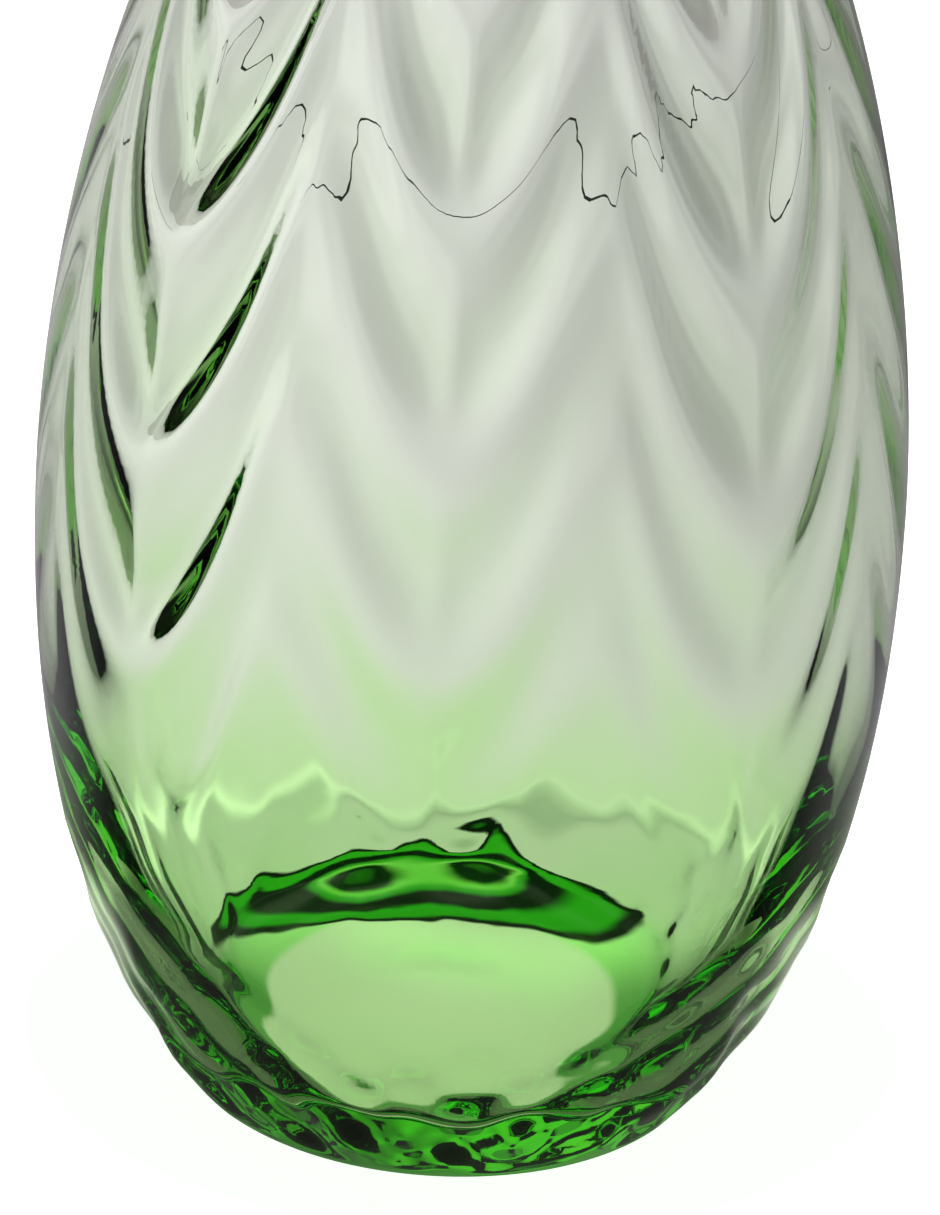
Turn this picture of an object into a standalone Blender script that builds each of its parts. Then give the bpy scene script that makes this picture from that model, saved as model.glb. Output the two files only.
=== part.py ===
# Glass carboy closed by a drilled rubber bung and a three-piece airlock.
# Metres, +Z up. The origin is the centre of the foot, on the surface that the carboy stands on.

import math

import bmesh
import bpy
import numpy as np
from mathutils import Matrix

# Vessel, outside
BELLY_RADIUS = 0.080  # widest radius of the body
BELLY_HEIGHT = 0.120  # height of the widest place
FOOT_RADIUS = 0.0424  # outer edge of the flat ring that the carboy stands on
HEEL_POWERS = (2.25, 0.685)  # fullness of the curve from the foot to the belly
SHOULDER_HEIGHT = 0.169  # from the belly to where the shoulder's dome would close
SHOULDER_POWERS = (1.8, 0.5)  # fullness of the curve from the belly to the neck
NECK_RADIUS = 0.0205
NECK_LENGTH = 0.051  # from the end of the shoulder's dome to the top of the lip
NECK_FILLET = 0.020  # hollow curve between shoulder and neck
LIP_HEIGHT = 0.012
LIP_PROUD = 0.0035  # how far the lip stands out from the neck
LIP_ROUNDING = 0.0022
PUNT_RADIUS = 0.021  # hollow under the base
PUNT_DEPTH = 0.0025

# Vessel, inside
BODY_WALL = 0.0030  # wall from the belly upwards
HEEL_WALL = 0.0085  # added to the wall at the floor, and less and less towards the belly
HEEL_WALL_POWER = 3.0  # how soon the added wall fades
FLOOR_HEIGHT = 0.0175  # thickness of the base at its middle
FLOOR_CORNER = 0.007  # rounding between floor and wall
NECK_BORE = 0.0136
MOUTH_TAPER = 0.10  # radius gained per length towards the lip
MOUTH_DEPTH = 0.026  # length of the tapered mouth, from the lip down

# Lobes blown into the wall, with a rib on the inside between each two
LOBE_COUNT = 8
LOBE_TURN = math.radians(-3.5)  # turn of the vessel about its axis
RIB_HEIGHT = 0.0018  # how far a rib stands into the cavity
CREASE_DEPTH = 0.0006  # how far the outside draws in over a rib
RIB_SOFTNESS = 0.30  # 0 is a sharp rib, 1 a plain wave
SEGMENTS_PER_LOBE = 8

# Bung
BUNG_INSERT = 0.020  # length inside the mouth
BUNG_PROUD = 0.012  # length above the lip
BUNG_ROUNDING = 0.0015

# Airlock
STEM_RADIUS = 0.0048
STEM_BORE = 0.0032
STEM_BELOW_BUNG = 0.006
CUP_RADIUS = 0.0170
CUP_WALL = 0.0014
CUP_HEIGHT = 0.042
CUP_FLOOR = 0.0018
CUP_ROUNDING = 0.0006
FILL_LINE_SHARE = 0.55  # height of the fill line as a share of the cup's height
FILL_LINE_PROUD = 0.0005
FILL_LINE_WIDTH = 0.0012
RISER_WALL = 0.0012
RISER_HEIGHT = 0.025  # above the cup's floor
FLOAT_GAP = 0.0036  # from the riser to the float's inner wall
FLOAT_WALL = 0.0010
FLOAT_HEADROOM = 0.0030  # from the riser's top to the float's ceiling
FLOAT_CORNER = 0.0020
NUB_RADIUS = 0.0018
NUB_HEIGHT = 0.0016
NOTCH_WIDTH = 0.0024
NOTCH_HEIGHT = 0.0030
CAP_THICKNESS = 0.0014
CAP_SKIRT_WALL = 0.0012
CAP_SKIRT_DEPTH = 0.0060
CAP_PLUG_DEPTH = 0.0025
CAP_ROUNDING = 0.0006
VENT_COUNT = 8
VENT_RADIUS = 0.0010
VENT_CIRCLE_SHARE = 0.5  # vents' circle as a share of the cup's inner radius

# Fits and facets
FIT_GAP = 0.0003  # clearance between pieces that touch
SMALL_SEGMENTS = 36  # facets round the bung and the airlock
MERGE = 0.00001  # points this close are one, where a profile meets the axis

# Heights that several pieces share
DOME_TOP = BELLY_HEIGHT + SHOULDER_HEIGHT
GLASS_HEIGHT = DOME_TOP + NECK_LENGTH
BUNG_TOP = GLASS_HEIGHT + BUNG_PROUD
BUNG_BOTTOM = GLASS_HEIGHT - BUNG_INSERT
CUP_BOTTOM = BUNG_TOP + FIT_GAP
CUP_INSIDE_FLOOR = CUP_BOTTOM + CUP_FLOOR
CUP_TOP = CUP_BOTTOM + CUP_HEIGHT
CUP_INNER_RADIUS = CUP_RADIUS - CUP_WALL
RISER_RADIUS = STEM_BORE + RISER_WALL
RISER_TOP = CUP_INSIDE_FLOOR + RISER_HEIGHT


def arc(centre_r, centre_z, radius, start, end, count):
    """Points on an arc in the profile's plane, from start to end degrees."""
    angles = [math.radians(start + (end - start) * i / count) for i in range(count + 1)]
    return [(centre_r + radius * math.cos(a), centre_z + radius * math.sin(a)) for a in angles]


def smooth_step(value, low, high):
    t = min(max((value - low) / (high - low), 0.0), 1.0)
    return t * t * (3 - 2 * t)


def heel_radius(down):
    """Outer radius at a share of the way down from the belly to the foot."""
    power, root = HEEL_POWERS
    return FOOT_RADIUS + (BELLY_RADIUS - FOOT_RADIUS) * (1 - down**power) ** root


def heel_curve(count):
    """Points up the outside from the foot's edge to just under the belly, close together at the foot."""
    down = np.cos(np.linspace(0, math.pi / 2, count, endpoint=False))
    heights = BELLY_HEIGHT * (1 - down)
    return list(zip(heel_radius(down).tolist(), heights.tolist()))


def inside_heel(count):
    """Points up the inside from the flat floor's edge, round the corner, to just under the belly."""
    heights = np.linspace(FLOOR_HEIGHT, BELLY_HEIGHT, 600, endpoint=False)
    low = (BELLY_HEIGHT - heights) / (BELLY_HEIGHT - FLOOR_HEIGHT)
    wall = BODY_WALL + HEEL_WALL * low**HEEL_WALL_POWER
    radii = heel_radius(1 - heights / BELLY_HEIGHT) - wall
    slopes = np.gradient(radii) / np.gradient(heights)
    inward = 1 / np.hypot(1, slopes)
    centres = heights + FLOOR_CORNER * slopes * inward
    touch = int(np.argmax(centres > FLOOR_HEIGHT + FLOOR_CORNER))
    centre_r = float(radii[touch] - FLOOR_CORNER * inward[touch])
    end = -math.degrees(math.atan(slopes[touch]))
    corner = arc(centre_r, FLOOR_HEIGHT + FLOOR_CORNER, FLOOR_CORNER, -90, end, 4)[:-1]
    kept = np.linspace(touch, len(heights), count, endpoint=False).astype(int)
    return corner + list(zip(radii[kept].tolist(), heights[kept].tolist()))


def shoulder_curve(belly_radius, dome_height, neck_radius, fillet, count):
    """Points up from the belly along a dome, then round a hollow fillet that touches dome and neck."""
    power, root = SHOULDER_POWERS
    up = np.sin(np.linspace(0, math.pi / 2, 600, endpoint=False))
    radii = belly_radius * (1 - up**power) ** root
    heights = BELLY_HEIGHT + dome_height * up
    slopes = np.gradient(radii) / np.gradient(heights)
    outward = 1 / np.hypot(1, slopes)
    upward = -slopes * outward
    touch = int(np.argmax(radii + fillet * outward < neck_radius + fillet))
    kept = np.linspace(0, touch, count).astype(int)
    dome = list(zip(radii[kept].tolist(), heights[kept].tolist()))
    centre_z = heights[touch] + fillet * upward[touch]
    start = 180 + math.degrees(math.atan2(upward[touch], outward[touch]))
    return dome + arc(neck_radius + fillet, float(centre_z), fillet, start, 180, 6)[1:]


def glass_inside():
    """Points up the cavity from the edge of its floor to the start of the mouth."""
    belly_radius = BELLY_RADIUS - BODY_WALL
    fillet = NECK_FILLET + NECK_RADIUS - NECK_BORE
    shoulder = shoulder_curve(belly_radius, SHOULDER_HEIGHT - BODY_WALL, NECK_BORE, fillet, 9)
    return inside_heel(8) + shoulder + [(NECK_BORE, GLASS_HEIGHT - MOUTH_DEPTH)]


def glass_outside():
    """Points up the outside from the edge of the foot to the lip's underside."""
    return heel_curve(11) + shoulder_curve(BELLY_RADIUS, SHOULDER_HEIGHT, NECK_RADIUS, NECK_FILLET, 9)


def lip_points():
    """Points from the mouth's inner edge over the rounded lip to its underside."""
    rounding = LIP_ROUNDING
    edge = rounding / 2
    low = GLASS_HEIGHT - LIP_HEIGHT
    side = NECK_RADIUS + LIP_PROUD - rounding
    inner_edge = [(mouth_radius(GLASS_HEIGHT - rounding), GLASS_HEIGHT - rounding)]
    inner_edge += arc(mouth_radius(GLASS_HEIGHT) + edge, GLASS_HEIGHT - edge, edge, 135, 90, 2)
    outer_edge = arc(side, GLASS_HEIGHT - rounding, rounding, 90, 0, 4)
    lower_edge = arc(side, low + rounding, rounding, 0, -90, 4)
    return inner_edge + outer_edge + lower_edge + [(NECK_RADIUS, low)]


def mouth_radius(z):
    return NECK_BORE + MOUTH_TAPER * (z - GLASS_HEIGHT + MOUTH_DEPTH)


def pressed(points, depth, low):
    """How far each point moves in along a rib: nothing at the foot or floor, and nothing at the neck."""
    rises = [smooth_step(z, low, low + FLOOR_HEIGHT) for _, z in points]
    falls = [1 - smooth_step(z, BELLY_HEIGHT, DOME_TOP) for _, z in points]
    return [depth * rise * fall for rise, fall in zip(rises, falls)]


def glass_profile():
    """Half-section of the vessel, up the inside, over the lip and down the outside, and its depths of rib."""
    inside = [(0, FLOOR_HEIGHT)] + glass_inside()
    lip = lip_points()
    outside = glass_outside()[::-1]
    angles = [math.pi / 2 * i / 4 for i in range(4)]
    punt = [(PUNT_RADIUS * math.cos(a), PUNT_DEPTH * math.sin(a)) for a in angles]
    punt.append((0, PUNT_DEPTH))
    inside_depths = pressed(inside, RIB_HEIGHT, FLOOR_HEIGHT)
    outside_depths = pressed(outside, CREASE_DEPTH, 0.0)
    depths = inside_depths + [0.0] * len(lip) + outside_depths + [0.0] * len(punt)
    return inside + lip + outside + punt, depths


def bung_profile():
    """Half-section of the drilled bung, whose taper is the mouth's less a clearance."""
    hole = STEM_RADIUS + FIT_GAP
    rounding = BUNG_ROUNDING
    top_radius = mouth_radius(BUNG_TOP) - FIT_GAP
    bottom_radius = mouth_radius(BUNG_BOTTOM) - FIT_GAP
    top = arc(top_radius - rounding, BUNG_TOP - rounding, rounding, 90, 0, 3)
    bottom = arc(bottom_radius - rounding, BUNG_BOTTOM + rounding, rounding, 0, -90, 3)
    return top + bottom + [(hole, BUNG_BOTTOM), (hole, BUNG_TOP)]


def airlock_body_profile():
    """Half-section of the cup, with the stem below it and the riser standing inside it."""
    stem_bottom = BUNG_BOTTOM - STEM_BELOW_BUNG
    rounding = CUP_ROUNDING
    line = CUP_BOTTOM + CUP_HEIGHT * FILL_LINE_SHARE
    half = FILL_LINE_WIDTH / 2
    rim = arc(CUP_RADIUS - rounding, CUP_TOP - rounding, rounding, 90, 0, 3)
    fill_line = [
        (CUP_RADIUS, line + half + FILL_LINE_PROUD),
        (CUP_RADIUS + FILL_LINE_PROUD, line + half),
        (CUP_RADIUS + FILL_LINE_PROUD, line - half),
        (CUP_RADIUS, line - half - FILL_LINE_PROUD),
    ]
    corner = 3 * rounding
    under = arc(CUP_RADIUS - corner, CUP_BOTTOM + corner, corner, 0, -90, 3)
    stem = [
        (STEM_RADIUS, CUP_BOTTOM),
        (STEM_RADIUS, stem_bottom + rounding),
        (STEM_RADIUS - rounding, stem_bottom),
        (STEM_BORE, stem_bottom),
    ]
    riser = [
        (STEM_BORE, RISER_TOP),
        (RISER_RADIUS, RISER_TOP),
        (RISER_RADIUS, CUP_INSIDE_FLOOR),
    ]
    inside = arc(CUP_INNER_RADIUS - rounding, CUP_INSIDE_FLOOR + rounding, rounding, -90, 0, 3)
    return rim + fill_line + under + stem + riser + inside + [(CUP_INNER_RADIUS, CUP_TOP)]


def float_sizes():
    """Bottom height, ceiling height, inner radius and outer radius of the float."""
    bottom = CUP_INSIDE_FLOOR + FIT_GAP
    ceiling = RISER_TOP + FLOAT_HEADROOM
    inner = RISER_RADIUS + FLOAT_GAP
    return bottom, ceiling, inner, inner + FLOAT_WALL


def float_profile():
    """Half-section of the float, an upturned cup over the riser with a nub on its crown."""
    bottom, ceiling, inner, outer = float_sizes()
    crown = ceiling + FLOAT_WALL
    nub = arc(0, crown + NUB_HEIGHT - NUB_RADIUS, NUB_RADIUS, 90, 0, 3)
    shoulder = arc(outer - FLOAT_CORNER, crown - FLOAT_CORNER, FLOAT_CORNER, 90, 0, 4)
    inside_corner = FLOAT_CORNER - FLOAT_WALL
    inside = arc(inner - inside_corner, ceiling - inside_corner, inside_corner, 0, 90, 3)
    nub[0] = (0, crown + NUB_HEIGHT)
    nub.append((NUB_RADIUS, crown))
    return nub + shoulder + [(outer, bottom), (inner, bottom)] + inside + [(0, ceiling)]


def cap_profile():
    """Half-section of the lid: a disc with a skirt round the cup's rim and a plug ring inside it."""
    under = CUP_TOP + FIT_GAP
    top = under + CAP_THICKNESS
    skirt_inner = CUP_RADIUS + FIT_GAP
    skirt_outer = skirt_inner + CAP_SKIRT_WALL
    skirt_bottom = under - CAP_SKIRT_DEPTH
    plug_outer = CUP_INNER_RADIUS - FIT_GAP
    plug_inner = plug_outer - CAP_SKIRT_WALL
    rounding = CAP_ROUNDING
    edge = arc(skirt_outer - rounding, top - rounding, rounding, 90, 0, 3)
    skirt = [(skirt_outer, skirt_bottom), (skirt_inner, skirt_bottom), (skirt_inner, under)]
    plug = [
        (plug_outer, under),
        (plug_outer, under - CAP_PLUG_DEPTH),
        (plug_inner, under - CAP_PLUG_DEPTH),
        (plug_inner, under),
    ]
    return [(0, top)] + edge + skirt + plug + [(0, under)]


def collection_named(name):
    found = bpy.data.collections.new(name)
    bpy.context.scene.collection.children.link(found)
    return found


def principled(name, colour, roughness, transmission=0.0):
    material = bpy.data.materials.new(name)
    material.use_nodes = True
    shader = material.node_tree.nodes["Principled BSDF"]
    shader.inputs["Base Color"].default_value = (*colour, 1.0)
    shader.inputs["Roughness"].default_value = roughness
    shader.inputs["Metallic"].default_value = 0.0
    shader.inputs["Transmission Weight"].default_value = transmission
    return material


def turned(name, profile, segments, material, collection, depths=None):
    """A solid of revolution. A profile that doesn't end on the axis is closed into a loop."""
    count = len(profile)
    on_axis = profile[0][0] == 0 and profile[-1][0] == 0
    edges = [(i, i + 1) for i in range(count - 1)]
    if not on_axis:
        edges.append((count - 1, 0))
    mesh = bpy.data.meshes.new(name)
    mesh.from_pydata([(r, 0, z) for r, z in profile], edges, [])
    mesh.materials.append(material)
    if depths:
        mesh.attributes.new("rib_depth", "FLOAT", "POINT").data.foreach_set("value", depths)
    turned_object = bpy.data.objects.new(name, mesh)
    collection.objects.link(turned_object)
    screw = turned_object.modifiers.new("turn", "SCREW")
    screw.axis = "Z"
    screw.steps = screw.render_steps = segments
    screw.use_merge_vertices = True
    screw.merge_threshold = MERGE
    screw.use_smooth_shade = True
    return turned_object


def made_mesh(source):
    """Replaces an object's modifiers by the mesh that they make."""
    graph = bpy.context.evaluated_depsgraph_get()
    mesh = bpy.data.meshes.new_from_object(source.evaluated_get(graph))
    source.modifiers.clear()
    source.data = mesh
    return mesh


def lobe_share(angles):
    """1 in the middle of a lobe and 0 on the rib between two lobes."""
    wave = np.cos(LOBE_COUNT / 2 * angles)
    sharp = np.sqrt(wave**2 + RIB_SOFTNESS**2)
    low, high = RIB_SOFTNESS, math.hypot(1, RIB_SOFTNESS)
    return (sharp - low) / (high - low)


def press_lobes(mesh):
    """Moves the vessel's points towards the axis along the ribs, each by its own depth."""
    count = len(mesh.vertices)
    points = np.empty(count * 3)
    depths = np.empty(count)
    mesh.vertices.foreach_get("co", points)
    mesh.attributes["rib_depth"].data.foreach_get("value", depths)
    points = points.reshape(-1, 3)
    radii = np.hypot(points[:, 0], points[:, 1])
    drawn_in = 1 - lobe_share(np.arctan2(points[:, 1], points[:, 0]))
    points[:, :2] *= (1 - depths * drawn_in / np.maximum(radii, MERGE))[:, None]
    mesh.vertices.foreach_set("co", points.ravel())
    mesh.update()


def cutter_object(name, cutter_mesh, collection):
    mesh = bpy.data.meshes.new(name)
    cutter_mesh.to_mesh(mesh)
    cutter_mesh.free()
    cutter = bpy.data.objects.new(name, mesh)
    collection.objects.link(cutter)
    cutter.hide_render = True
    cutter.display_type = "WIRE"
    return cutter


def cut(target, cutter):
    boolean = target.modifiers.new(cutter.name, "BOOLEAN")
    boolean.operation = "DIFFERENCE"
    boolean.object = cutter


def shade(piece):
    mesh = piece.data
    mesh.shade_smooth()
    mesh.set_sharp_from_angle(angle=math.radians(35))


def make_glass_body(parts):
    glass = principled("green_glass", (0.55, 0.80, 0.45), 0.02, transmission=1.0)
    segments = LOBE_COUNT * SEGMENTS_PER_LOBE
    profile, depths = glass_profile()
    body = turned("glass_body", profile, segments, glass, parts, depths)
    press_lobes(made_mesh(body))
    body.rotation_euler.z = LOBE_TURN
    shade(body)


def make_bung(parts):
    rubber = principled("natural_rubber", (0.52, 0.33, 0.17), 0.75)
    bung = turned("bung", bung_profile(), SMALL_SEGMENTS, rubber, parts)
    made_mesh(bung)
    shade(bung)


def make_airlock_body(parts):
    clear = principled("clear_plastic", (0.90, 0.92, 0.92), 0.08, transmission=1.0)
    body = turned("airlock_body", airlock_body_profile(), SMALL_SEGMENTS, clear, parts)
    made_mesh(body)
    shade(body)


def make_airlock_float(parts, cutters):
    clear = principled("clear_float_plastic", (0.90, 0.92, 0.92), 0.10, transmission=1.0)
    piece = turned("airlock_float", float_profile(), SMALL_SEGMENTS, clear, parts)
    made_mesh(piece)
    bottom, _, _, outer = float_sizes()
    slots = bmesh.new()
    for turn in (0, 90):
        box = bmesh.ops.create_cube(slots, size=1)["verts"]
        bmesh.ops.scale(slots, vec=(3 * outer, NOTCH_WIDTH, 2 * NOTCH_HEIGHT), verts=box)
        quarter_turn = Matrix.Rotation(math.radians(turn), 3, "Z")
        bmesh.ops.rotate(slots, cent=(0, 0, 0), matrix=quarter_turn, verts=box)
        bmesh.ops.translate(slots, vec=(0, 0, bottom), verts=box)
    cut(piece, cutter_object("float_notches", slots, cutters))
    shade(piece)


def make_airlock_cap(parts, cutters):
    white = principled("white_plastic", (0.85, 0.85, 0.82), 0.35)
    cap = turned("airlock_cap", cap_profile(), SMALL_SEGMENTS, white, parts)
    made_mesh(cap)
    holes = bmesh.new()
    circle = CUP_INNER_RADIUS * VENT_CIRCLE_SHARE
    for i in range(VENT_COUNT):
        angle = 2 * math.pi * i / VENT_COUNT
        hole = bmesh.ops.create_cone(
            holes,
            cap_ends=True,
            segments=12,
            radius1=VENT_RADIUS,
            radius2=VENT_RADIUS,
            depth=4 * CAP_THICKNESS,
        )["verts"]
        place = (circle * math.cos(angle), circle * math.sin(angle), CUP_TOP + FIT_GAP)
        bmesh.ops.translate(holes, vec=place, verts=hole)
    cut(cap, cutter_object("cap_vents", holes, cutters))
    shade(cap)


def main():
    for old in list(bpy.data.objects):
        bpy.data.objects.remove(old)
    parts = collection_named("glass_carboy")
    cutters = collection_named("cutters")
    make_glass_body(parts)
    make_bung(parts)
    make_airlock_body(parts)
    make_airlock_float(parts, cutters)
    make_airlock_cap(parts, cutters)


main()
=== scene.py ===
import math

import bpy
import numpy as np
from mathutils import Matrix, Vector


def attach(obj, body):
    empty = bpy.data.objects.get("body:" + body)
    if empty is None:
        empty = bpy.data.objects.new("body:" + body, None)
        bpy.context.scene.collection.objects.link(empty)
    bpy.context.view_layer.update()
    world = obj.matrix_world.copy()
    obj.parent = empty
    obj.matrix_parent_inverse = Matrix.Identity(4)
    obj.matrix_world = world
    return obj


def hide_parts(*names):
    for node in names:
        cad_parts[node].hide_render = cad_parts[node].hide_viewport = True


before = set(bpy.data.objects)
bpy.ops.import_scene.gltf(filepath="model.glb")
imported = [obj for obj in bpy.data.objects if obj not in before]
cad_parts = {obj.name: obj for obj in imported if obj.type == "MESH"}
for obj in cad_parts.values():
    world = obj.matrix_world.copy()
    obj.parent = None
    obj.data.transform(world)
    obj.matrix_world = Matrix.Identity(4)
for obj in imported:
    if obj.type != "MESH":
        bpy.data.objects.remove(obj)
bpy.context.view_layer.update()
print("frame loaded:", ", ".join(sorted(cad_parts)))


# nodes that the materials share

black = (0.0, 0.0, 0.0)
white = (1.0, 1.0, 1.0)


def addNode(tree, kind, **settings):
    # a new shader node of this kind with its settings
    node = tree.nodes.new("ShaderNode" + kind)
    for name, value in settings.items():
        setattr(node, name, value)
    return node


def feed(tree, socket, value):
    # an output is linked to the socket, and a number, place or colour is set on it
    if isinstance(value, bpy.types.NodeSocket):
        tree.links.new(value, socket)
    elif socket.type == "RGBA":
        socket.default_value = (*value, 1)
    else:
        socket.default_value = value


def newMaterial(name):
    # a material with a Principled shader: returns it with its tree, shader and output
    material = bpy.data.materials.new(name)
    material.use_nodes = True
    tree = material.node_tree
    return material, tree, tree.nodes["Principled BSDF"], tree.nodes["Material Output"]


def bareMaterial(name):
    # a material with nothing but its output: returns it with its tree and the output's surface
    material, tree, shader, output = newMaterial(name)
    tree.nodes.remove(shader)
    return material, tree, output.inputs["Surface"]


def mathNode(tree, operation, first, second):
    # first and second joined by the operation
    node = addNode(tree, "Math", operation=operation)
    feed(tree, node.inputs[0], first)
    feed(tree, node.inputs[1], second)
    return node.outputs[0]


def vectorNode(tree, operation, *values):
    # vectors joined by the operation: a length or a distance is a number, the rest is a vector
    node = addNode(tree, "VectorMath", operation=operation)
    for socket, value in zip(node.inputs, values):
        feed(tree, socket, value)
    return node.outputs["Value" if operation in ("LENGTH", "DISTANCE") else "Vector"]


def apart(tree, place):
    # x, y and z of a place
    node = addNode(tree, "SeparateXYZ")
    tree.links.new(place, node.inputs[0])
    return node.outputs["X"], node.outputs["Y"], node.outputs["Z"]


def mixColours(tree, factor, first, second, blend="MIX"):
    # first * (1 - factor) + second * factor, or what the blend makes of the two
    node = addNode(tree, "Mix", data_type="RGBA", blend_type=blend)
    for name, value in (("Factor", factor), ("A", first), ("B", second)):
        feed(tree, node.inputs[name], value)
    return node.outputs["Result"]


def rangeNode(tree, value, low, high, first, last, course="SMOOTHSTEP"):
    # goes from first to last while the value goes from low to high, smoothly or evenly
    node = addNode(tree, "MapRange", interpolation_type=course)
    for name, number in zip(("From Min", "From Max", "To Min", "To Max"), (low, high, first, last)):
        node.inputs[name].default_value = number
    tree.links.new(value, node.inputs["Value"])
    return node.outputs["Result"]


def noiseOn(tree, scale, detail, spread=(0.3, 0.7)):
    # noise on Object coordinates, whose spread in the middle is stretched to go from 0 to 1
    place = addNode(tree, "TexCoord")
    noise = addNode(tree, "TexNoise")
    noise.inputs["Scale"].default_value = scale
    noise.inputs["Detail"].default_value = detail
    tree.links.new(place.outputs["Object"], noise.inputs["Vector"])
    return rangeNode(tree, noise.outputs["Fac"], *spread, 0.0, 1.0)


def bumpFrom(tree, shader, height, depth):
    # the shader's normal leans with the slope of height * depth
    bump = addNode(tree, "Bump")
    bump.inputs["Distance"].default_value = depth
    tree.links.new(height, bump.inputs["Height"])
    tree.links.new(bump.outputs["Normal"], shader.inputs["Normal"])


# camera

view = dict(
    elevation=22.0,        # degrees above level
    distance=1.4107,       # metres to the aim point
    aim=(0.00103, 0.0, 0.0960),
    lean=3.10,             # degrees that the upright axis leans to the right in the picture
    focalPixels=7628.0,    # for a picture of this height
    pictureHeight=1215,
    sensor=36.0,           # millimetres
)


def makeCamera():
    # place = aim + distance * (0, -cos, sin) of the elevation, turned to look at the aim;
    # lens = sensor * focal / height
    up = math.radians(view["elevation"])
    back = Vector((0, -math.cos(up), math.sin(up)))
    turned = Matrix.Rotation(math.radians(view["lean"]), 4, "Z")
    data = bpy.data.cameras.new("camera")
    data.sensor_width = view["sensor"]
    data.lens = view["sensor"] * view["focalPixels"] / view["pictureHeight"]
    camera = bpy.data.objects.new("camera", data)
    bpy.context.scene.collection.objects.link(camera)
    looking = back.to_track_quat("Z", "Y").to_matrix().to_4x4() @ turned
    camera.matrix_world = Matrix.Translation(Vector(view["aim"]) + back * view["distance"]) @ looking
    bpy.context.scene.camera = camera


makeCamera()
print("camera placed")


# glass vessel

glass = dict(
    bellyRadius=0.080, bellyHeight=0.120, footRadius=0.0424, heelPowers=(2.25, 0.685),
    shoulderHeight=0.169, shoulderPowers=(1.8, 0.5),
    neckRadius=0.0205, neckLength=0.051, neckFillet=0.020, neckEnd=0.002,
    lipHeight=0.012, lipProud=0.0035, lipRounding=0.0022, lipCorner=0.0004,
    lipEdge=150.0,         # degrees at which the arc over the mouth's edge begins
    puntRadius=0.024, puntDepth=0.0012,
    bellyWall=0.0022, shoulderWall=0.0014, thinning=(-0.06, 0.12),    # the wall thins past the belly
    heelWall=0.0095, heelPower=2.2,           # and thickens downwards from the belly to the floor
    floorHeight=0.0175, floorCorner=0.007,
    neckBore=0.0136, mouthTaper=0.10, mouthDepth=0.026,
    lobeCount=8, lobeTurn=math.radians(-3.5), ribSoftness=0.30,
    ribHeight=0.0010, ribStart=(0.025, 0.080),        # ribs inside, which grow from one height to the other
    creaseDepth=0.0006, creaseStart=(0.0, 0.008),     # creases outside, over the ribs
    heelCrease=0.0010, heelCreaseStart=(0.002, 0.012), heelCreaseEnd=(0.020, 0.060),
    swagHeight=(0.0005, 0.0023), swagTurn=1.5,        # how far a fold stands in, at the back and at the front
    swagExtra=0.0022, swagStrong=math.radians(-133.0), swagFocus=26.0,    # deeper towards the front left
    swagEnds=(0.65, 0.35), swagPeak=0.26,    # share of it in mid-lobe and on a rib, and where it is full
    swagSkew=0.6,          # the lower side of a fold is steeper
    swagPitch=0.040,       # from one fold to the next, upwards
    swagDrop=0.050,        # how far a fold hangs down between its two ribs
    swagShifts=(0.010, 0.004, 0.012, 0.006, 0.014, -0.003, 0.010, -0.004),    # how high each lobe's folds sit
    swagSoft=0.10, swagMeet=0.6,    # rounding over a rib, and from where in a lobe neighbours come together
    swagStart=(0.072, 0.128), swagEnd=(0.215, 0.285),
    lumpHeight=0.0018,     # uneven places on the heel
    lumpWaves=((9, 190, 0.7), (14, -330, 2.1), (21, 260, 4.0)),    # waves round, turn per metre up, and start
    lumpTop=(0.022, 0.052),    # their upper end, at the front and back and at the sides
    lumpStart=(0.002, 0.010), lumpEnd=(-0.012, 0.012), lumpSides=0.6,    # outside, weaker at the sides
    lumpInside=0.4, lumpInsideStart=(0.017, 0.026), lumpInsideEnd=(-0.006, 0.018),
    beads=((108.0, 0.0255), (86.0, 0.0255)),    # swellings inside the heel: degrees round and height
    beadHeight=0.0022, beadSpread=(0.11, 0.0050),    # spread in radians and metres
    columns=320, heelRows=(56, 40), shoulderRows=(76, 36),    # points round, and rows inside and outside
    floorRows=10, cornerRows=10, filletRows=16, neckRows=3,
    mouthRows=6, edgeRows=4, roundingRows=8, hollowRows=16,
    domeSteps=4000, heelSteps=3000,    # fine steps in which the place is found that an arc touches
    colour=(0.44, 0.96, 0.10), density=44.0, ior=1.52,
    grazed=(0.04, 0.40, 0.02),    # what is left of lamp light that grazes a face
)


def smoothStep(value, low, high):
    # t^2 (3 - 2t), with t going from 0 at low to 1 at high
    t = np.clip((value - low) / (high - low), 0, 1)
    return t * t * (3 - 2 * t)


def straight(start, end, count):
    # even steps from start to end, without the start
    return np.linspace(start, end, count + 1)[1:]


def arcPoints(centreR, centreZ, radius, start, end, count):
    # centre + radius * (cos, sin) of an angle in even steps
    a = np.radians(np.linspace(start, end, count + 1))
    return np.column_stack([centreR + radius * np.cos(a), centreZ + radius * np.sin(a)])


def heelRadius(down):
    # foot + (belly - foot) * (1 - down^p)^q, with down going from 1 at the bottom to 0 at the belly
    power, root = glass["heelPowers"]
    return glass["footRadius"] + (glass["bellyRadius"] - glass["footRadius"]) * (1 - down**power) ** root


def heelCurve(count):
    # the heel's radius at heights that lie closer together at the bottom, as a cosine does
    down = np.cos(np.linspace(0, math.pi / 2, count, endpoint=False))
    return np.column_stack([heelRadius(down), glass["bellyHeight"] * (1 - down)])


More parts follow.
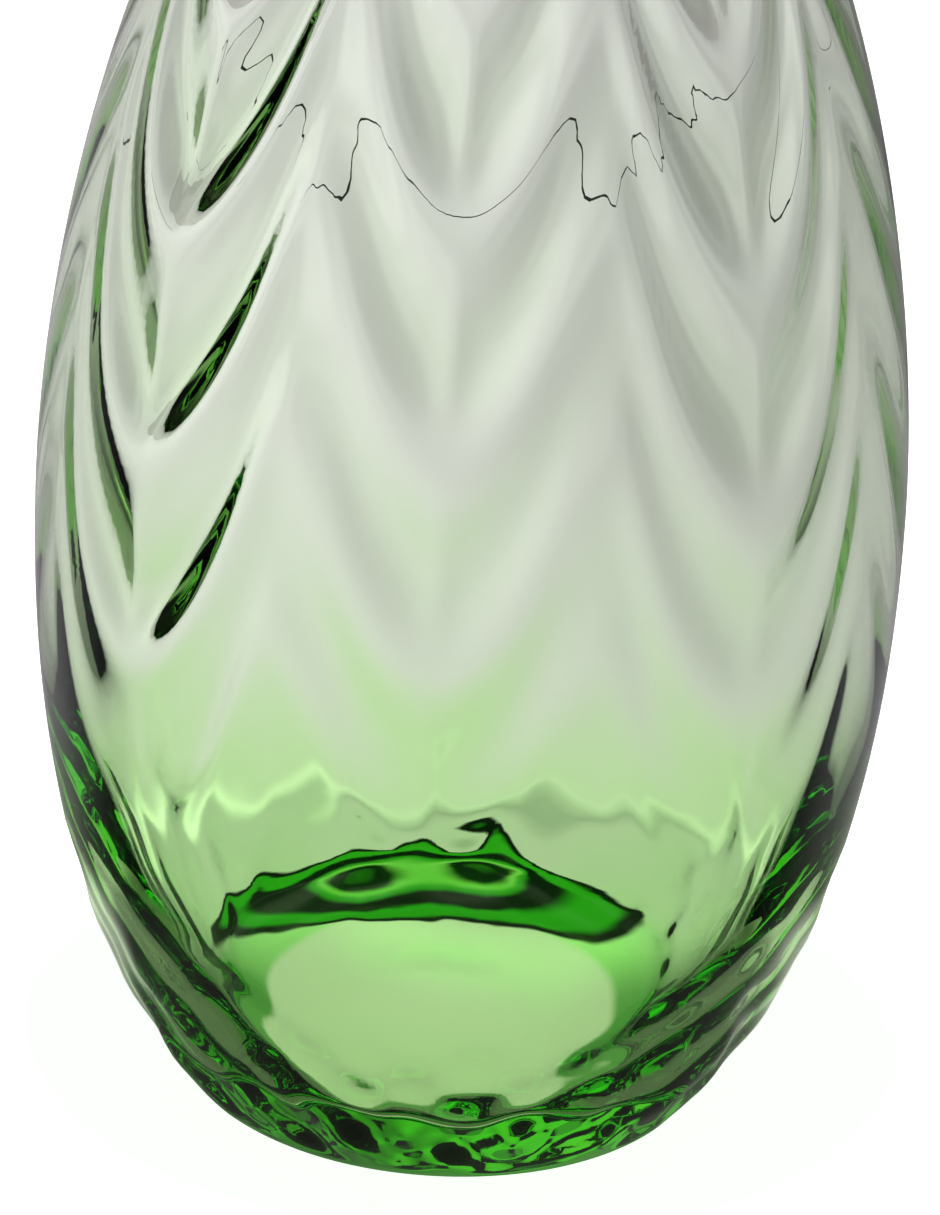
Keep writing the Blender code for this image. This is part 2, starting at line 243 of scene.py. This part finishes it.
def shoulderCurve(bellyRadius, domeHeight, neckRadius, fillet, count):
    # radius = belly * (1 - up^p)^q, then an arc that touches both this dome and the neck
    power, root = glass["shoulderPowers"]
    up = np.sin(np.linspace(0, math.pi / 2, glass["domeSteps"], endpoint=False))
    radii = bellyRadius * (1 - up**power) ** root
    heights = glass["bellyHeight"] + domeHeight * up
    slopes = np.gradient(radii) / np.gradient(heights)
    outward = 1 / np.hypot(1, slopes)
    upward = -slopes * outward
    touch = int(np.argmax(radii + fillet * outward < neckRadius + fillet))
    radii, heights = radii[:touch + 1], heights[:touch + 1]
    along = np.concatenate([[0], np.cumsum(np.hypot(np.diff(radii), np.diff(heights)))])
    even = np.linspace(0, along[-1], count)
    dome = np.column_stack([np.interp(even, along, radii), np.interp(even, along, heights)])
    start = 180 + math.degrees(math.atan2(upward[touch], outward[touch]))
    centreZ = heights[touch] + fillet * upward[touch]
    arc = arcPoints(neckRadius + fillet, centreZ, fillet, start, 180, glass["filletRows"])
    return np.vstack([dome, arc[1:]])


def insideHeel(count):
    # outer radius less the wall's thickness, with an arc that touches both this curve and the flat floor
    g = glass
    floorHeight, corner = g["floorHeight"], g["floorCorner"]
    heights = np.linspace(floorHeight, g["bellyHeight"], g["heelSteps"], endpoint=False)
    low = (g["bellyHeight"] - heights) / (g["bellyHeight"] - floorHeight)
    wall = g["bellyWall"] + g["heelWall"] * low ** g["heelPower"]
    radii = heelRadius(1 - heights / g["bellyHeight"]) - wall
    slopes = np.gradient(radii, heights)
    lean = np.hypot(1, slopes)
    touch = int(np.argmax(heights + corner * slopes / lean > floorHeight + corner))
    centre = radii[touch] - corner / lean[touch]
    end = -math.degrees(math.atan(slopes[touch]))
    kept = np.linspace(touch, len(heights), count, endpoint=False).astype(int)
    return np.vstack([
        straight((0.0, floorHeight), (centre, floorHeight), g["floorRows"])[1:-1],
        arcPoints(centre, floorHeight + corner, corner, -90, end, g["cornerRows"])[:-1],
        np.column_stack([radii[kept], heights[kept]]),
    ])


def insideProfile(top):
    # floor, heel and shoulder less the wall, and the bore up to where the mouth's taper begins
    g = glass
    wall, bore = g["shoulderWall"], g["neckBore"]
    fillet = g["neckFillet"] + g["neckRadius"] - bore
    count = g["shoulderRows"][0]
    shoulder = shoulderCurve(g["bellyRadius"] - wall, g["shoulderHeight"] - wall, bore, fillet, count)
    start, end = g["thinning"]
    thins = 1 - smoothStep(shoulder[:, 1], g["bellyHeight"] + start, g["bellyHeight"] + end)
    shoulder[:, 0] -= (g["bellyWall"] - wall) * thins / thins[0]
    rows = np.vstack([insideHeel(g["heelRows"][0]), shoulder])
    return np.vstack([rows, straight(rows[-1], (bore, top - g["mouthDepth"]), g["neckRows"])])


def lipProfile(start, top):
    # the mouth's taper, a small arc over its edge, and two larger ones round the lip
    g = glass
    rounding, edge, corner = g["lipRounding"], g["lipRounding"] / 2, g["lipCorner"]
    side, low = g["neckRadius"] + g["lipProud"] - rounding, top - g["lipHeight"]
    mouth = g["neckBore"] + g["mouthTaper"] * g["mouthDepth"]
    return np.vstack([
        straight(start, (mouth - g["mouthTaper"] * rounding, top - rounding), g["mouthRows"]),
        arcPoints(mouth + edge, top - edge, edge, g["lipEdge"], 90, g["edgeRows"]),
        arcPoints(side, top - rounding, rounding, 90, 0, g["roundingRows"]),
        arcPoints(side, low + rounding, rounding, 0, -90, g["roundingRows"]),
        [[g["neckRadius"] + corner, low], [g["neckRadius"], low - corner]],
    ])


def outsideProfile(top):
    # heel, shoulder and neck, from the top down
    g = glass
    count = g["shoulderRows"][1]
    shoulder = shoulderCurve(g["bellyRadius"], g["shoulderHeight"], g["neckRadius"], g["neckFillet"], count)
    rows = np.vstack([heelCurve(g["heelRows"][1]), shoulder])
    neckTop = (g["neckRadius"], top - g["lipHeight"] - g["neckEnd"])
    return np.vstack([rows, straight(rows[-1], neckTop, g["neckRows"])])[::-1]


def puntProfile():
    # height = depth * (1 + cos(pi * radius / punt radius)) / 2
    inward = np.linspace(1, 0, glass["hollowRows"], endpoint=False)
    heights = glass["puntDepth"] * (1 + np.cos(math.pi * inward)) / 2
    return np.column_stack([glass["puntRadius"] * inward, heights])


def lobeShare(angles):
    # 1 in the middle of a lobe, 0 on a rib: the length of a cosine, rounded where it turns
    soft = glass["ribSoftness"]
    wave = np.cos(glass["lobeCount"] / 2 * (angles - glass["lobeTurn"]))
    return (np.sqrt(wave**2 + soft**2) - soft) / (math.hypot(1, soft) - soft)


def swagFold(angles, heights):
    # folds that hang between the ribs: a skewed cosine of the height above a parabola that is lowest in
    # mid-lobe; each lobe has its own height, and two neighbours meet half-way on the rib
    g = glass
    lobes = (angles - g["lobeTurn"]) * g["lobeCount"] / (2 * math.pi)
    index = np.round(lobes).astype(int)
    beside = index + np.sign(lobes - index).astype(int)
    across = 2 * np.abs(lobes - index)
    shifts = np.array(g["swagShifts"])
    own, other = shifts[index % g["lobeCount"]], shifts[beside % g["lobeCount"]]
    shift = own + 0.5 * (other - own) * smoothStep(across, g["swagMeet"], 1.0)
    across = 1 + g["swagSoft"] - np.hypot(1 - across, g["swagSoft"])
    hang = shift + g["swagDrop"] * across**2
    middle, rib = g["swagEnds"]
    share = middle + (1 - middle) * smoothStep(across, 0, g["swagPeak"])
    share = share * (rib + (1 - rib) * (1 - smoothStep(across, g["swagPeak"], 1)))
    back, front = g["swagHeight"]
    strong = np.exp(g["swagFocus"] * (np.cos(angles - g["swagStrong"]) - 1))
    deep = back + (front - back) * np.clip(-np.sin(angles), 0, 1) ** g["swagTurn"]
    deep = deep + g["swagExtra"] * strong
    phase = 2 * math.pi * (heights - hang) / g["swagPitch"]
    return deep * share * (0.5 + 0.5 * np.cos(phase + g["swagSkew"] * strong * np.cos(phase)))


def heelLumps(angles, heights, start, end):
    # a mean of sines round and up the heel, so that no two lobes are alike; it grows between the start's
    # heights and fades between the end's, counted from a top that is higher at the sides by a squared cosine
    g = glass
    waves = [np.sin(count * angles + turn * heights + first) for count, turn, first in g["lumpWaves"]]
    front, side = g["lumpTop"]
    top = front + (side - front) * np.cos(angles) ** 2
    fade = smoothStep(heights, *start) * (1 - smoothStep(heights, top + end[0], top + end[1]))
    return g["lumpHeight"] * fade * sum(waves) / len(waves)


def heelBeads(angles, heights):
    # rounded swellings inside the heel: each is height * exp(-(turn / spread)^2 - (rise / spread)^2)
    g = glass
    spreadTurn, spreadRise = g["beadSpread"]
    drawn = 0 * angles
    for place, height in g["beads"]:
        turn = np.angle(np.exp(1j * (angles - math.radians(place)))) / spreadTurn
        rise = (heights - height) / spreadRise
        drawn = drawn + g["beadHeight"] * np.exp(-(turn**2) - rise**2)
    return drawn


def overDome(heights):
    # 1 up to the belly, then a smooth step down to 0 at the dome's top
    return 1 - smoothStep(heights, glass["bellyHeight"], glass["bellyHeight"] + glass["shoulderHeight"])


def insideRelief(angles, heights):
    # how far the inside stands in: ribs + folds + lumps + beads
    g = glass
    ribs = g["ribHeight"] * smoothStep(heights, *g["ribStart"]) * overDome(heights) * (1 - lobeShare(angles))
    fade = smoothStep(heights, *g["swagStart"]) * (1 - smoothStep(heights, *g["swagEnd"]))
    folds = fade * swagFold(angles, heights)
    lumps = g["lumpInside"] * heelLumps(angles, heights, g["lumpInsideStart"], g["lumpInsideEnd"])
    return ribs + folds + lumps + heelBeads(angles, heights)


def outsideRelief(angles, heights):
    # how far the outside draws in: creases, deeper on the heel, + lumps
    g = glass
    fade = smoothStep(heights, *g["creaseStart"]) * overDome(heights)
    onHeel = smoothStep(heights, *g["heelCreaseStart"]) * (1 - smoothStep(heights, *g["heelCreaseEnd"]))
    creases = (g["creaseDepth"] * fade + g["heelCrease"] * onHeel) * (1 - lobeShare(angles))
    weaker = 1 - g["lumpSides"] * np.cos(angles) ** 2
    return creases + weaker * heelLumps(angles, heights, g["lumpStart"], g["lumpEnd"])


def meshFromGrid(name, points, firstPole, lastPole):
    # rows x columns x 3 points, closed round the columns, with a pole that closes each of the end rows
    rows, columns = points.shape[:2]
    index = np.arange(rows * columns).reshape(rows, columns)
    beside = np.roll(index, -1, axis=1)
    quads = np.stack([index[:-1], index[1:], beside[1:], beside[:-1]], axis=-1).reshape(-1, 4)
    first, last = np.full(columns, rows * columns), np.full(columns, rows * columns + 1)
    floor = np.stack([first, index[0], beside[0]], axis=-1)
    under = np.stack([last, beside[-1], index[-1]], axis=-1)
    mesh = bpy.data.meshes.new(name)
    verts = np.vstack([points.reshape(-1, 3), firstPole, lastPole])
    mesh.from_pydata(verts, [], quads.tolist() + floor.tolist() + under.tolist())
    mesh.polygons.foreach_set("use_smooth", np.ones(len(mesh.polygons), bool))
    mesh.update()
    piece = bpy.data.objects.new(name, mesh)
    bpy.context.scene.collection.objects.link(piece)
    return piece


def makeGlass():
    # (radius - relief) * (cos, sin) of the angle; rows run up inside, over the lip, down outside and under
    g = glass
    top = g["bellyHeight"] + g["shoulderHeight"] + g["neckLength"]
    angles = np.linspace(0, 2 * math.pi, g["columns"], endpoint=False)[None, :]
    inside, outside, punt = insideProfile(top), outsideProfile(top), puntProfile()
    lip = lipProfile(inside[-1], top)
    rows = np.vstack([inside, lip, outside, punt])
    radius, height = rows[:, :1], rows[:, 1:]
    reach = radius - np.vstack([
        insideRelief(angles, inside[:, 1:]),
        np.zeros((len(lip), g["columns"])),
        outsideRelief(angles, outside[:, 1:]),
        np.zeros((len(punt), g["columns"])),
    ])
    points = np.stack([reach * np.cos(angles), reach * np.sin(angles), height + 0 * angles], axis=-1)
    piece = meshFromGrid("glass_vessel", points, (0, 0, g["floorHeight"]), (0, 0, g["puntDepth"]))
    print("glass:", len(piece.data.vertices), "points")
    return piece


def letLampsThrough(tree, shader, output, grazed, turn=(0.05, 0.35)):
    # rays from lamps go straight through, in white where they meet the surface squarely, and in the grazed
    # colour where the facing weight is past the turn
    path, graze = addNode(tree, "LightPath"), addNode(tree, "LayerWeight")
    loss = rangeNode(tree, graze.outputs["Facing"], *turn, 0.0, 1.0, "LINEAR")
    clear = addNode(tree, "BsdfTransparent")
    mix = addNode(tree, "MixShader")
    tree.links.new(mixColours(tree, loss, white, grazed), clear.inputs["Color"])
    tree.links.new(path.outputs["Is Shadow Ray"], mix.inputs["Fac"])
    tree.links.new(shader.outputs[0], mix.inputs[1])
    tree.links.new(clear.outputs[0], mix.inputs[2])
    tree.links.new(mix.outputs[0], output.inputs["Surface"])


def glassMaterial():
    # clear glass that absorbs light: what is left after a length = exp(-density * (1 - colour) * length)
    material, tree, shader, output = newMaterial("greenGlass")
    shader.inputs["Base Color"].default_value = (1, 1, 1, 1)
    shader.inputs["Roughness"].default_value = 0.0
    shader.inputs["Transmission Weight"].default_value = 1.0
    shader.inputs["IOR"].default_value = glass["ior"]
    absorb = addNode(tree, "VolumeAbsorption")
    absorb.inputs["Color"].default_value = (*glass["colour"], 1)
    absorb.inputs["Density"].default_value = glass["density"]
    tree.links.new(absorb.outputs[0], output.inputs["Volume"])
    letLampsThrough(tree, shader, output, glass["grazed"])
    return material


vessel = makeGlass()
vessel.data.materials.append(glassMaterial())
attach(vessel, "vessel")
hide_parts("glass_body")
print("vessel done")


# bung

bung = dict(
    light=(0.56, 0.36, 0.19), dark=(0.44, 0.27, 0.13), shares=(0.75, 0.25),    # shares of clouds and of grain
    clouds=(90, 4), grain=(1400, 2),    # scale and detail of each noise
    rough=(0.50, 0.72), grainDepth=0.00012,
)


def dress(node, material):
    # the CAD node gets this material and no other
    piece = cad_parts[node]
    piece.data.materials.clear()
    piece.data.materials.append(material)


def bungMaterial():
    # moulded gum rubber: two tones mixed by clouds and grain, a roughness by the clouds, a bump by the grain
    material, tree, shader = newMaterial("gumRubber")[:3]
    clouds, grain = noiseOn(tree, *bung["clouds"]), noiseOn(tree, *bung["grain"])
    soft, fine = bung["shares"]
    cloudy, grainy = mathNode(tree, "MULTIPLY", clouds, soft), mathNode(tree, "MULTIPLY", grain, fine)
    tone = mathNode(tree, "ADD", cloudy, grainy)
    tree.links.new(mixColours(tree, tone, bung["light"], bung["dark"]), shader.inputs["Base Color"])
    tree.links.new(rangeNode(tree, clouds, 0, 1, *bung["rough"]), shader.inputs["Roughness"])
    bumpFrom(tree, shader, grain, bung["grainDepth"])
    return material


dress("bung", bungMaterial())
print("bung dressed")


# airlock

airlock = dict(
    bodyTint=(0.97, 0.98, 0.98), bodyRough=(0.015, 0.06),
    floatTint=(0.93, 0.95, 0.96), floatRough=(0.05, 0.14),
    ior=1.49, flow=(160, 2), haze=(420, 3), flowDepth=0.00006,    # scale and detail of each noise
    grazed=(0.75, 0.75, 0.75),    # what is left of lamp light that grazes a face
)
cap = dict(
    light=(0.86, 0.86, 0.83), dark=(0.79, 0.79, 0.75),
    clouds=(60, 3), grain=(900, 2), rough=(0.30, 0.46), grainDepth=0.00005,
)


def clearPlastic(name, tint, rough):
    # clear moulded plastic: faint flow waves as a bump, and a roughness that follows a haze
    material, tree, shader, output = newMaterial(name)
    flow, haze = noiseOn(tree, *airlock["flow"]), noiseOn(tree, *airlock["haze"])
    shader.inputs["Base Color"].default_value = (*tint, 1)
    shader.inputs["Transmission Weight"].default_value = 1.0
    shader.inputs["IOR"].default_value = airlock["ior"]
    tree.links.new(rangeNode(tree, haze, 0, 1, *rough), shader.inputs["Roughness"])
    bumpFrom(tree, shader, flow, airlock["flowDepth"])
    letLampsThrough(tree, shader, output, airlock["grazed"])
    return material


def capMaterial():
    # white moulded plastic: two tones mixed by clouds, and a roughness and a bump that follow a grain
    material, tree, shader = newMaterial("whiteCap")[:3]
    clouds, grain = noiseOn(tree, *cap["clouds"]), noiseOn(tree, *cap["grain"])
    tree.links.new(mixColours(tree, clouds, cap["light"], cap["dark"]), shader.inputs["Base Color"])
    tree.links.new(rangeNode(tree, grain, 0, 1, *cap["rough"]), shader.inputs["Roughness"])
    bumpFrom(tree, shader, grain, cap["grainDepth"])
    return material


dress("airlock_body", clearPlastic("clearPlastic", airlock["bodyTint"], airlock["bodyRough"]))
dress("airlock_float", clearPlastic("hazyPlastic", airlock["floatTint"], airlock["floatRough"]))
dress("airlock_cap", capMaterial())
print("airlock dressed")


# light level round the vessel, on table and world

surround = dict(
    middle=0.83, swing=0.52,            # its middle, and how far it swings
    ends=(0.40, 1.15),
    turn=(-0.10, 0.50),                 # from where in front to where behind the mirrored share goes
)


def mirroredShare(tree, path, lost):
    # 1 for rays that come straight or through glass, and 1 - lost for mirrored rays
    mirrored = mathNode(tree, "MINIMUM", path.outputs["Glossy Depth"], 1.0)
    return mathNode(tree, "SUBTRACT", 1.0, mathNode(tree, "MULTIPLY", mirrored, lost))


def levelAround(tree, place, path, soft, reflected):
    # middle - swing * 4xy (y^2 - x^2) / (x^2 + y^2 + soft^2)^2, between two ends: the same on all four sides;
    # mirrored rays see a share of it, which grows with y / root(x^2 + y^2 + soft^2) from front to back
    low, high = surround["ends"]
    x, y = apart(tree, place)[:2]
    xSquare, ySquare = mathNode(tree, "MULTIPLY", x, x), mathNode(tree, "MULTIPLY", y, y)
    squares = mathNode(tree, "ADD", mathNode(tree, "ADD", xSquare, ySquare), soft**2)
    turn = mathNode(tree, "MULTIPLY", x, y)
    turn = mathNode(tree, "MULTIPLY", turn, mathNode(tree, "SUBTRACT", ySquare, xSquare))
    turn = mathNode(tree, "DIVIDE", turn, mathNode(tree, "MULTIPLY", squares, squares))
    turn = mathNode(tree, "MULTIPLY", turn, 4 * surround["swing"])
    level = mathNode(tree, "SUBTRACT", surround["middle"], turn)
    level = mathNode(tree, "MAXIMUM", mathNode(tree, "MINIMUM", level, high), low)
    behind = mathNode(tree, "DIVIDE", y, mathNode(tree, "POWER", squares, 0.5))
    lost = rangeNode(tree, behind, *surround["turn"], 1 - reflected[0], 1 - reflected[1])
    return mathNode(tree, "MULTIPLY", level, mirroredShare(tree, path, lost))


def byRay(tree, path, through, matt, camera):
    # what glass and gloss show, unless the ray comes from a matt face or straight from the camera
    shown = mixColours(tree, path.outputs["Is Diffuse Ray"], through, matt)
    return mixColours(tree, path.outputs["Is Camera Ray"], shown, camera)


# table

# painted rings behind the base, which only glass shows: bands of painted green light that the base gathers,
# with painted shadow between them in dark bands and outlines
rings = dict(
    centre=(0.0, 0.059), unit=(0.0086, 0.205), wide=0.036,
    points=((-1.5, -0.3), (1.3, 0.4)), end=3.0, edge=0.06, bend=14.0, noise=60.0, warp=0.010, least=0.001,
    bands=((0.0, (0.015, 0.20, 0.005)), (0.24, (0.01, 0.12, 0.003)), (0.33, (0.0, 0.02, 0.0)),
           (0.40, (0.0, 0.03, 0.0)), (0.48, (0.22, 0.70, 0.10)), (0.55, (0.04, 0.40, 0.015)),
           (0.63, (0.0, 0.015, 0.0)), (0.75, (0.0, 0.015, 0.0)), (0.82, (0.03, 0.42, 0.01)),
           (0.91, (0.03, 0.40, 0.01)), (0.955, (0.0, 0.01, 0.0)), (1.0, (0.0, 0.01, 0.0))),
)
table = dict(
    half=0.8, height=-0.0003,
    colour=(0.84, 0.80, 0.84), matt=(0.05, 0.05, 0.05),
    lift=(0.92, 0.92, 0.92),            # how white it looks to the camera by itself
    soft=0.26,                          # how gently the level's swing dies out near the axis
    reflected=(0.03, 0.42),             # share that mirrored rays see, in front and behind
    farStart=(0.25, 0.75), farLevel=0.20,    # it keeps its level far from the lamp
    gatherRadius=(0.0345, 0.0375), gatherColour=(0.92, 0.58, 0.94),    # light gathered by the base, under it
    castColour=(0.66, 0.80, 0.54), castRadius=(0.095, 0.22),    # green that the vessel casts round itself
    sideColour=(0.58, 0.66, 0.50), sideLevels=(0.22, 1.0),    # light beside the base, in front and behind
    sideTurn=(-0.005, 0.030), sideEnd=(0.100, 0.125),
)


def warped(tree, place):
    # the place plus a share of a noise's colour
    noise = addNode(tree, "TexNoise")
    noise.inputs["Scale"].default_value = rings["noise"]
    tree.links.new(place, noise.inputs["Vector"])
    return vectorNode(tree, "MULTIPLY_ADD", noise.outputs["Color"], (rings["warp"],) * 3, place)


def nestedOvals(tree, place):
    # root of the distance to one point times the distance to another: its level lines are ovals nested round
    # both; they are in across = x / root(1 + (x / wide)^2) and up = log(y + bend * x^2), each over its unit
    r = rings
    x, y = apart(tree, warped(tree, place))[:2]
    x = mathNode(tree, "SUBTRACT", x, r["centre"][0])
    square = mathNode(tree, "MULTIPLY", x, x)
    narrows = mathNode(tree, "ADD", mathNode(tree, "DIVIDE", square, r["wide"] ** 2), 1.0)
    across = mathNode(tree, "DIVIDE", x, mathNode(tree, "POWER", narrows, 0.5))
    y = mathNode(tree, "ADD", y, mathNode(tree, "MULTIPLY", square, r["bend"]))
    y = mathNode(tree, "DIVIDE", mathNode(tree, "MAXIMUM", y, r["least"]), r["centre"][1])
    flat = addNode(tree, "CombineXYZ")
    rise = mathNode(tree, "LOGARITHM", y, math.e)
    tree.links.new(mathNode(tree, "DIVIDE", across, r["unit"][0]), flat.inputs["X"])
    tree.links.new(mathNode(tree, "DIVIDE", rise, r["unit"][1]), flat.inputs["Y"])
    first, second = [vectorNode(tree, "DISTANCE", flat.outputs[0], (*point, 0)) for point in r["points"]]
    return mathNode(tree, "POWER", mathNode(tree, "MULTIPLY", first, second), 0.5)


def bandColours(tree, value, bands):
    # goes smoothly through the bands' colours, each at its own value
    ramp = addNode(tree, "ValToRGB")
    ramp.color_ramp.interpolation = "EASE"
    steps = ramp.color_ramp.elements
    while len(steps) < len(bands):
        steps.new(1.0)
    for step, (at, colour) in zip(steps, bands):
        step.position = at
        step.color = (*colour, 1)
    tree.links.new(value, ramp.inputs["Fac"])
    return ramp.outputs["Color"]


def tableGlow(tree, place, reach, level, ovals, within):
    # painted light that glass shows: the lighter of what lies beside the base and what is far away, with the
    # painted disc of gathered light and the painted rings of light and shade over it
    t = table
    y = apart(tree, place)[1]
    beside = rangeNode(tree, y, *t["sideTurn"], *t["sideLevels"])
    beside = mathNode(tree, "MULTIPLY", beside, rangeNode(tree, reach, *t["sideEnd"], 1.0, 0.0))
    distant = mathNode(tree, "MULTIPLY", level, rangeNode(tree, reach, *t["farStart"], 0.0, t["farLevel"]))
    glow = mixColours(tree, 1.0, mixColours(tree, beside, black, t["sideColour"]), distant, "LIGHTEN")
    gather = rangeNode(tree, reach, *t["gatherRadius"], 1.0, 0.0)
    glow = mixColours(tree, gather, glow, t["gatherColour"])
    bands = bandColours(tree, mathNode(tree, "DIVIDE", ovals, rings["end"]), rings["bands"])
    return mixColours(tree, within, glow, bands)


def tableMaterial():
    # matt and white to the camera; glass shows it with painted shade round the vessel, painted light that the
    # base gathers, and painted rings of light and shadow behind it
    t = table
    material, tree, surface = bareMaterial("paleTable")
    path = addNode(tree, "LightPath")
    place = addNode(tree, "TexCoord").outputs["Object"]
    reach = vectorNode(tree, "LENGTH", place)
    level = levelAround(tree, place, path, t["soft"], t["reflected"])
    ovals = nestedOvals(tree, place)
    within = rangeNode(tree, ovals, rings["end"] - rings["edge"], rings["end"] + rings["edge"], 1.0, 0.0)
    cast = mixColours(tree, rangeNode(tree, reach, *t["castRadius"], 0.0, 1.0), t["castColour"], t["colour"])
    # within the rings the colour that lamps light is black: painted shadow
    shaded = mixColours(tree, within, mixColours(tree, 1.0, level, cast, "MULTIPLY"), black)
    glow = tableGlow(tree, place, reach, level, ovals, within)
    matt, emit, both = [addNode(tree, kind) for kind in ("BsdfDiffuse", "Emission", "AddShader")]
    tree.links.new(byRay(tree, path, shaded, t["matt"], t["colour"]), matt.inputs["Color"])
    tree.links.new(byRay(tree, path, glow, black, t["lift"]), emit.inputs["Color"])
    tree.links.new(matt.outputs[0], both.inputs[0])
    tree.links.new(emit.outputs[0], both.inputs[1])
    tree.links.new(both.outputs[0], surface)
    return material


def panel(name, corners, material):
    # one four-sided face of the stage
    mesh = bpy.data.meshes.new(name)
    mesh.from_pydata(corners, [], [(0, 1, 2, 3)])
    mesh.materials.append(material)
    piece = bpy.data.objects.new(name, mesh)
    bpy.context.scene.collection.objects.link(piece)
    return piece


def makeFloor():
    # a square that reaches half its width from the axis to each side
    z, half = table["height"], table["half"]
    corners = [(-half, -half, z), (half, -half, z), (half, half, z), (-half, half, z)]
    return panel("floor", corners, tableMaterial())


floor = makeFloor()
print("table placed")


# thin dark edge behind the vessel

seam = dict(
    line=((-0.060, 0.122), (0.030, 0.122), (0.075, 0.150), (0.12, 0.20)),    # x and z
    back=0.17, thick=0.0007, colour=(0.03, 0.03, 0.03),
)


def plainGlow(name, colour):
    # the colour itself, whatever the light
    material, tree, surface = bareMaterial(name)
    emit = addNode(tree, "Emission")
    emit.inputs["Color"].default_value = (*colour, 1)
    tree.links.new(emit.outputs[0], surface)
    return material


def makeSeam():
    # upright strips from each point of the line to the next, seen only through glass
    dark = plainGlow("darkEdge", seam["colour"])
    y, thick = seam["back"], seam["thick"]
    for (x, low), (farX, high) in zip(seam["line"], seam["line"][1:]):
        corners = [(x, y, low), (farX, y, high), (farX, y, high + thick), (x, y, low + thick)]
        edge = panel("seam", corners, dark)
        edge.visible_camera = False
        edge.visible_shadow = False


makeSeam()
print("dark edge placed")


# world and lamps

sky = dict(
    colour=(0.68, 0.64, 0.665), matt=(0.03, 0.03, 0.03),
    soft=0.3, reflected=(0.03, 0.55),               # as for the table
    lowTurn=(0.24, 0.37), lowLevels=(1.0, 0.03),    # to mirrored rays it is bright near level and dark above
)
lamps = dict(
    small=("bung", "airlock_body", "airlock_float", "airlock_cap"),
    boxes=(("leftBox", (-0.85, -0.75, 0.85), 12.0), ("rightBox", (0.9, -0.6, 0.60), 5.5),
           ("backBox", (0.2, 1.1, 0.80), 9.5)),    # place and power
    boxAim=(0.0, 0.0, 0.36), boxSize=0.5,
    keyPlace=(-0.04, -0.25, 1.60), keyPower=34.0, keyAim=(0.0, 0.0, 0.0), keySize=0.08,
    bounces=48, mirrorBounces=24,
)


def makeWorld():
    # white to the camera, dim to matt faces, and shaded round the vessel for what glass and gloss show
    world = bpy.data.worlds.new("studio")
    bpy.context.scene.world = world
    world.use_nodes = True
    tree = world.node_tree
    path = addNode(tree, "LightPath")
    place = addNode(tree, "TexCoord").outputs["Generated"]
    level = levelAround(tree, place, path, sky["soft"], sky["reflected"])
    z = apart(tree, place)[2]
    near, above = sky["lowLevels"]
    low = mirroredShare(tree, path, rangeNode(tree, z, *sky["lowTurn"], 1 - near, 1 - above))
    shown = mixColours(tree, 1.0, mathNode(tree, "MULTIPLY", level, low), sky["colour"], "MULTIPLY")
    tree.links.new(byRay(tree, path, shown, sky["matt"], white), tree.nodes["Background"].inputs["Color"])


def softbox(name, place, aim, size, power, pieces):
    # a square lamp that faces its aim, lights these pieces and no others, and is not seen itself
    data = bpy.data.lights.new(name, "AREA")
    data.shape = "SQUARE"
    data.size = size
    data.energy = power
    lamp = bpy.data.objects.new(name, data)
    bpy.context.scene.collection.objects.link(lamp)
    lamp.location = place
    lamp.rotation_euler = (Vector(place) - Vector(aim)).to_track_quat("Z", "Y").to_euler()
    lamp.visible_camera = False
    lamp.visible_glossy = False
    lamp.visible_transmission = False
    lit = bpy.data.collections.new(name + "Lights")
    for piece in pieces:
        lit.objects.link(piece)
    lamp.light_linking.receiver_collection = lit


makeWorld()
small = [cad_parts[name] for name in lamps["small"]]
for name, place, power in lamps["boxes"]:
    softbox(name, place, lamps["boxAim"], lamps["boxSize"], power, small)
softbox("keyBox", lamps["keyPlace"], lamps["keyAim"], lamps["keySize"], lamps["keyPower"], [floor])
print("world and lamps placed")

bpy.context.scene.view_settings.view_transform = "Standard"
bpy.context.scene.cycles.max_bounces = lamps["bounces"]
bpy.context.scene.cycles.transmission_bounces = lamps["bounces"]
bpy.context.scene.cycles.glossy_bounces = lamps["mirrorBounces"]
